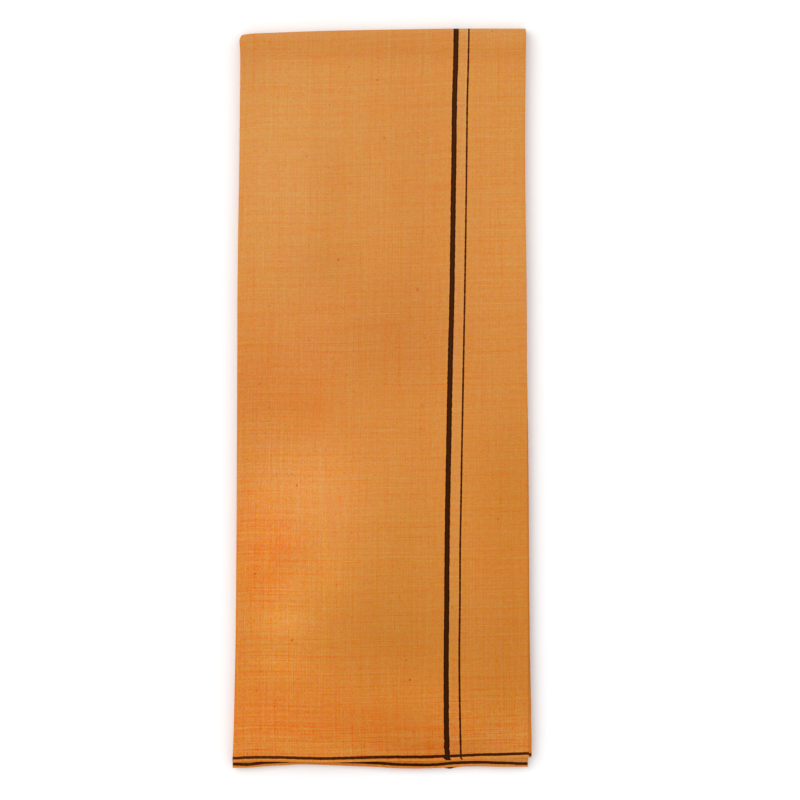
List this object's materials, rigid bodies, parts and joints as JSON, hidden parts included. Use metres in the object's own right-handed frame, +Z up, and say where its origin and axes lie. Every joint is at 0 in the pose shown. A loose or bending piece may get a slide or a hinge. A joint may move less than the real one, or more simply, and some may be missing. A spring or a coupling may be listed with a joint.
{
  "type": "folded dhoti cloth",
  "caption": "Saffron cotton dhoti, folded into a flat rectangle with its woven end stripes up, to lie on a shelf or table.",
  "frame": {"origin": "centre of the bounding box, on the plane that the underside lies on", "axes": "+Y to the head fold, +X to the right of the folded cloth seen from above, +Z up"},
  "size_m": [0.2571, 0.6356, 0.0117],
  "materials": {
    "saffron_cotton": "matte plain weave, with dark brown woven stripes"
  },
  "bodies": {
    "root": {"end_panel": "saffron_cotton", "middle_layers": "saffron_cotton", "last_panel": "saffron_cotton"}
  },
  "joints": []
}
